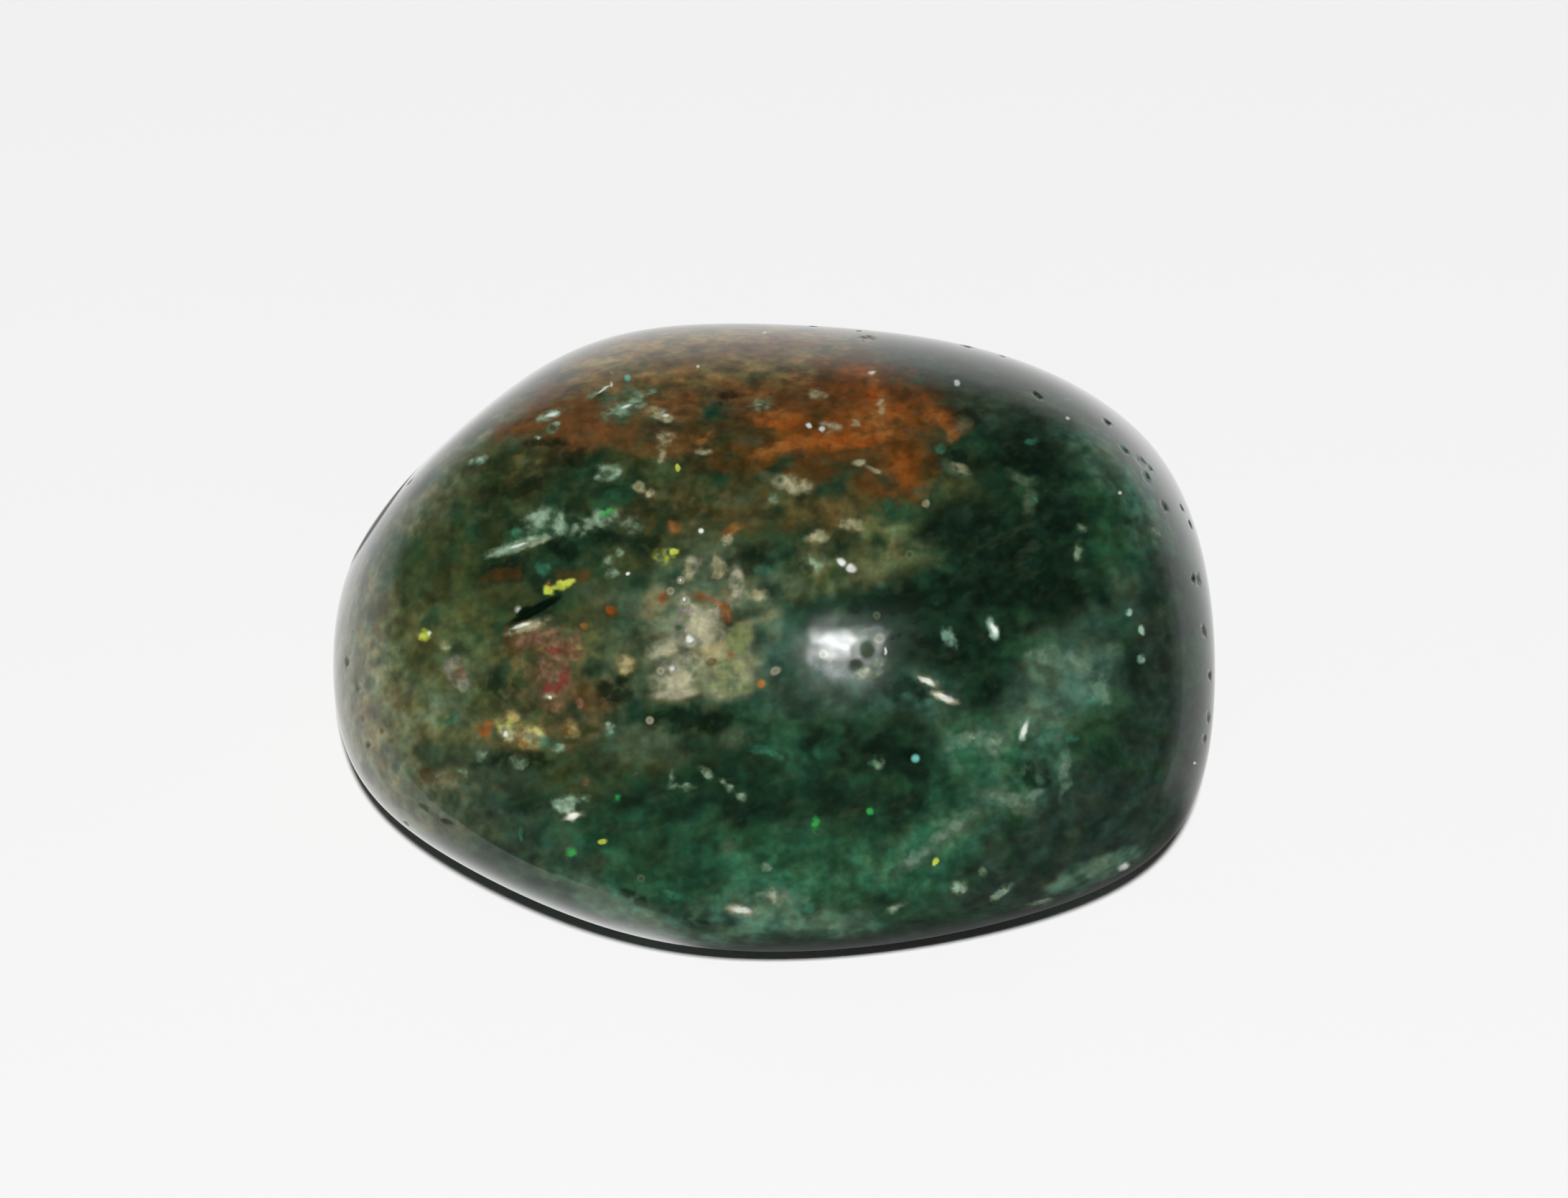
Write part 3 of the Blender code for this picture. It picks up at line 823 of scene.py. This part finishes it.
def all_pits(skin):
    pixel = MM / PIXELS_PER_MM
    pits = []
    for u, v, half_width, half_height, turn, depth in NEAR_PITS.values():
        place, _ = skin.at_pixel(u, v)
        pits.append(Mark(place, photo_axes(turn), half_width * pixel, half_height * pixel, depth * MM))
    chance = Random(PIT_SEED)
    for _ in range(SCATTERED_PITS):
        place, normal = skin.hidden(chance)
        size = chance.uniform(SMALLEST_PIT, LARGEST_PIT) * MM
        axes = skin_axes(normal, chance.uniform(0, 180))
        width = size * chance.uniform(1, LONGEST_PIT)
        pits.append(Mark(place, axes, width, size, size * PIT_STEEPNESS))
    return pits


def tree_of(places):
    tree = KDTree(len(places))
    for index, place in enumerate(places):
        tree.insert(place, index)
    tree.balance()
    return tree


def in_pit(pit, co):
    """A point as the pit sees it: across, along and outward from its middle."""
    return pit.axes.transposed() @ (co - pit.place)


def refine_around(bm, pits):
    """Cut the mesh finer around the pits."""
    bm.faces.ensure_lookup_table()
    tree = tree_of([face.calc_center_median() for face in bm.faces])
    edges = set()
    for pit in pits:
        width = pit.half_width + PIT_MARGIN
        height = pit.half_height + PIT_MARGIN
        reach = pit.half_width + pit.half_height + PIT_MARGIN
        for co, index, _ in tree.find_range(pit.place, reach):
            local = in_pit(pit, co)
            if abs(local.x) < width and abs(local.y) < height:
                edges.update(bm.faces[index].edges)
    bmesh.ops.subdivide_edges(bm, edges=list(edges), cuts=1, use_grid_fill=True)
    bmesh.ops.triangulate(bm, faces=bm.faces[:])


def smooth_step(low, high, value):
    share = min(1.0, max(0.0, (value - low) / (high - low)))
    return share * share * (3 - 2 * share)


def sink_pits(bm, pits):
    """Push the skin in, with ragged edges."""
    bm.normal_update()
    bm.verts.ensure_lookup_table()
    tree = tree_of([v.co for v in bm.verts])
    moves = {}
    for pit in pits:
        reach = PIT_REACH * max(pit.half_width, pit.half_height)
        for co, index, _ in tree.find_range(pit.place, reach):
            local = in_pit(pit, co)
            far = Vector((local.x / pit.half_width, local.y / pit.half_height)).length
            far += PIT_RAGGEDNESS * noise.noise(co / PIT_GRAIN)
            depth = pit.depth * (1 - smooth_step(PIT_FLOOR, PIT_EDGE, far))
            moves[index] = max(moves.get(index, 0.0), depth)
    for index, depth in moves.items():
        v = bm.verts[index]
        if v.co.z > FLAT_HEIGHT:
            v.co -= v.normal * depth


# Shader nodes

class Pen:
    """Writes shader nodes into a tree, each after the ones that it reads from."""

    def __init__(self, tree):
        self.tree = tree

    def add(self, kind, sockets=None, **settings):
        node = self.tree.nodes.new(kind)
        for name, value in settings.items():
            setattr(node, name, value)
        for name, value in (sockets or {}).items():
            if isinstance(value, bpy.types.NodeSocket):
                self.tree.links.new(value, node.inputs[name])
            else:
                node.inputs[name].default_value = value
        return node

    def math(self, operation, first, second=0.0):
        return self.add("ShaderNodeMath", {0: first, 1: second}, operation=operation).outputs[0]

    def vector(self, operation, first, second):
        node = self.add("ShaderNodeVectorMath", {0: first, 1: second}, operation=operation)
        return node.outputs[0]

    def scaled(self, vector, factor):
        node = self.add("ShaderNodeVectorMath", {0: vector, "Scale": factor}, operation="SCALE")
        return node.outputs[0]

    def fade(self, value, low, high, start=0.0, end=1.0):
        """Goes smoothly from start to end while the value goes from low to high."""
        sockets = {0: value, 1: low, 2: high, 3: start, 4: end}
        settings = {"interpolation_type": "SMOOTHSTEP", "clamp": False}
        return self.add("ShaderNodeMapRange", sockets, **settings).outputs[0]

    def noise(self, where, size, detail=2.0, roughness=0.5):
        """Noise whose largest lumps are about the size given, in millimetres."""
        sockets = {"Vector": where, "Scale": 1 / size, "Detail": detail, "Roughness": roughness}
        return self.add("ShaderNodeTexNoise", sockets)

    def mix(self, factor, under, over, blend="MIX"):
        """Mixes two colours: the node's sockets for colours follow those for numbers and vectors."""
        sockets = {0: factor, 6: under, 7: over}
        return self.add("ShaderNodeMix", sockets, data_type="RGBA", blend_type=blend).outputs[2]


# The stone's colours

def near_marks(skin, spots, zone=False):
    """Marks by pixel, with sizes in millimetres; one size makes a round mark."""
    marks = []
    for u, v, half_width, *rest in spots:
        half_height, turn = (*rest, 0)[:2] if rest else (half_width, 0)
        place, _ = skin.at_pixel(u, v)
        half_width /= PIXELS_PER_MM
        half_height /= PIXELS_PER_MM
        depth = ZONE_REACH if zone else MARK_REACH * max(half_width, half_height) + MARK_ROOM
        marks.append(Mark(place / MM, photo_axes(turn), half_width, half_height, depth))
    return marks


def hidden_marks(skin, chance, count, smallest, largest):
    marks = []
    for _ in range(count):
        place, normal = skin.hidden(chance)
        axes = skin_axes(normal, chance.uniform(0, 180))
        size = chance.uniform(smallest, largest)
        height = size * chance.uniform(FLATTEST_MARK, ROUNDEST_MARK)
        marks.append(Mark(place / MM, axes, size, height, HIDDEN_REACH * size))
    return marks


def cover_of(pen, where, kind, marks, grains):
    """How much the marks of a layer cover: its strength inside them, fading out over their edges."""
    nearness = None
    for mark in marks:
        ball = pen.add("ShaderNodeTexGradient", {"Vector": where}, gradient_type="SPHERICAL")
        ball.texture_mapping.vector_type = "TEXTURE"
        ball.texture_mapping.translation = mark.place
        ball.texture_mapping.rotation = mark.axes.to_euler()
        size = Vector((mark.half_width, mark.half_height, mark.depth))
        ball.texture_mapping.scale = size * MARK_SKIRT
        near = ball.outputs["Fac"]
        nearness = near if nearness is None else pen.math("MAXIMUM", nearness, near)
    if kind.grain != "solid":
        nearness = pen.math("MULTIPLY", nearness, grains[kind.grain])
    rim = 1 - 1 / MARK_SKIRT
    low = rim * (1 - EDGE_OUTWARD * kind.edge)
    high = rim + (1 - rim) * EDGE_INWARD * kind.edge
    cover = pen.fade(nearness, low, high)
    if kind.warp == "fine":
        cover = pen.math("POWER", cover, MARK_FALL)
    return pen.math("MULTIPLY", cover, kind.strength), nearness


def make_warps(pen, where):
    """The same coordinates, bent by noise, so that edges come out irregular."""
    warps = {"none": where}
    for name, (size, amount) in WARPS.items():
        bend = pen.noise(where, size, detail=1.0).outputs["Color"]
        centred = pen.vector("SUBTRACT", bend, (0.5, 0.5, 0.5))
        warps[name] = pen.vector("ADD", where, pen.scaled(centred, amount))
    return warps


def make_grains(pen, where, bent):
    """Noise that eats into the edges of marks, and the mottle between a layer's two colours."""
    middle = pen.noise(where, MIDDLE_GRAIN).outputs["Fac"]
    fine = pen.noise(where, FINE_GRAIN).outputs["Fac"]
    large = pen.math("MULTIPLY", pen.noise(bent, MIDDLE_GRAIN).outputs["Fac"], MOTTLE_LARGE)
    small = pen.math("MULTIPLY", pen.noise(bent, FINE_GRAIN).outputs["Fac"], MOTTLE_SMALL)
    speckle = pen.noise(bent, SPECKLE_GRAIN, detail=1.0).outputs["Fac"]
    return {
        "middle": pen.fade(middle, *GRAIN_SPAN, *MIDDLE_BITE),
        "fine": pen.fade(fine, *GRAIN_SPAN, *FINE_BITE),
        "mottle": pen.fade(pen.math("ADD", large, small), *MOTTLE_SPAN),
        "speckle": pen.fade(speckle, *SPECKLE_SPAN),
    }


def tone(pen, kind, grains):
    """One colour as it is, two colours mottled together, more finely in small marks."""
    if isinstance(kind.colour[0], tuple):
        return pen.mix(grains["speckle" if kind.warp == "fine" else "mottle"], *kind.colour)
    return kind.colour


def paint(pen, colour, kind, marks, warps, grains):
    cover, nearness = cover_of(pen, warps[kind.warp], kind, marks, grains)
    painted = pen.mix(cover, colour, tone(pen, kind, grains))
    if kind.core:
        core = pen.fade(nearness, CORE_RIM, CORE_FULL, 0.0, kind.strength)
        painted = pen.mix(core, painted, kind.core)
    return painted


def paint_hidden(pen, colour, layers, skin, chance, warps, grains):
    for kind, count, smallest, largest in layers.values():
        marks = hidden_marks(skin, chance, count, smallest, largest)
        colour = paint(pen, colour, kind, marks, warps, grains)
    return colour


def paint_near(pen, colour, layers, skin, warps, grains):
    for kind in layers.values():
        marks = near_marks(skin, kind.spots, layers is ZONES)
        colour = paint(pen, colour, kind, marks, warps, grains)
    return colour


def body_colour(pen, warps, grains):
    """The green ground of the stone, under its zones and marks."""
    large = pen.noise(warps["wide"], GROUND_LUMPS, detail=4.0, roughness=0.55).outputs["Fac"]
    colour = pen.mix(pen.fade(large, *GROUND_SPAN), DEEP, FOREST)
    return pen.mix(pen.fade(grains["mottle"], *BRIGHTER_SPAN, 0.0, BRIGHTER_SHARE), colour, EMERALD)


def ripple(pen, colour, where, size, low, high):
    """Changes of brightness all over the stone, in soft lumps of one size."""
    lumps = pen.fade(pen.noise(where, size).outputs["Fac"], *RIPPLE_SPAN)
    return pen.mix(1.0, colour, pen.mix(lumps, (low, low, low, 1), (high, high, high, 1)), "MULTIPLY")


def drift(pen, colour, where):
    """Small changes of hue, from warmer to cooler."""
    lumps = pen.noise(where, DRIFT_LUMPS, detail=3.0, roughness=0.6).outputs["Fac"]
    hue = pen.fade(lumps, *DRIFT_SPAN)
    return pen.mix(1.0, colour, pen.mix(hue, WARM_TINT, COOL_TINT), "MULTIPLY")


def wisps(pen, colour, over, where, size, low, high, strength):
    """Irregular flecks where a noise peaks, drawn out along the grain of the stone."""
    peaks = pen.noise(where, size)
    peaks.texture_mapping.vector_type = "TEXTURE"
    peaks.texture_mapping.rotation = photo_axes(WISP_TURN).to_euler()
    peaks.texture_mapping.scale = (WISP_STRETCH, 1, 1)
    return pen.mix(pen.fade(peaks.outputs["Fac"], low, high, 0.0, strength), colour, over)


def stone_colour(pen, skin, where):
    warps = make_warps(pen, where)
    grains = make_grains(pen, where, warps["fine"])
    chance = Random(MARK_SEED)
    colour = body_colour(pen, warps, grains)
    colour = paint_hidden(pen, colour, HIDDEN_ZONES, skin, chance, warps, grains)
    colour = paint_near(pen, colour, ZONES, skin, warps, grains)
    colour = drift(pen, colour, where)
    colour = ripple(pen, colour, where, *BROAD_RIPPLE)
    colour = wisps(pen, colour, INK, where, *DARK_WISPS)
    colour = wisps(pen, colour, DULL_SAGE, where, *PALE_WISPS)
    colour = paint_hidden(pen, colour, HIDDEN_MARKS, skin, chance, warps, grains)
    colour = paint_near(pen, colour, MARKS, skin, warps, grains)
    return ripple(pen, colour, where, *FINE_RIPPLE)


def stone_material(skin):
    material, shader = new_material("polished_bloodstone")
    pen = Pen(material.node_tree)
    link = material.node_tree.links.new
    where = pen.scaled(pen.add("ShaderNodeTexCoord").outputs["Object"], 1 / MM)
    link(stone_colour(pen, skin, where), shader["Base Color"])

    worn, _ = cover_of(pen, where, WORN, near_marks(skin, WORN.spots), {})
    polish = pen.math("SUBTRACT", 1.0, worn)
    link(polish, shader["Coat Weight"])

    ripples = pen.noise(where, RIPPLE_SIZE, detail=1.0).outputs["Fac"]
    bump = pen.add("ShaderNodeBump", {"Strength": 1.0, "Distance": RIPPLE_DEPTH, "Height": ripples})
    link(bump.outputs["Normal"], shader["Normal"])
    link(bump.outputs["Normal"], shader["Coat Normal"])
    shader["Roughness"].default_value = BODY_ROUGHNESS
    shader["Specular IOR Level"].default_value = BODY_SPECULAR
    shader["Coat Roughness"].default_value = POLISH_ROUGHNESS
    return material


def make_stone(bm, material):
    mesh = bpy.data.meshes.new("bloodstone_surface")
    bm.to_mesh(mesh)
    bm.free()
    mesh.shade_smooth()
    mesh.materials.append(material)
    stone = put("bloodstone_surface", mesh)
    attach(stone, "root")
    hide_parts("bloodstone")


bpy.context.scene.view_settings.view_transform = "Standard"
make_camera()
stone_bm = fine_mesh()
skin = Skin(stone_bm)
pits = all_pits(skin)
refine_around(stone_bm, pits)
refine_around(stone_bm, pits)
sink_pits(stone_bm, pits)
make_lamps(skin)
make_floor()
make_card()
make_room()
make_stone(stone_bm, stone_material(skin))
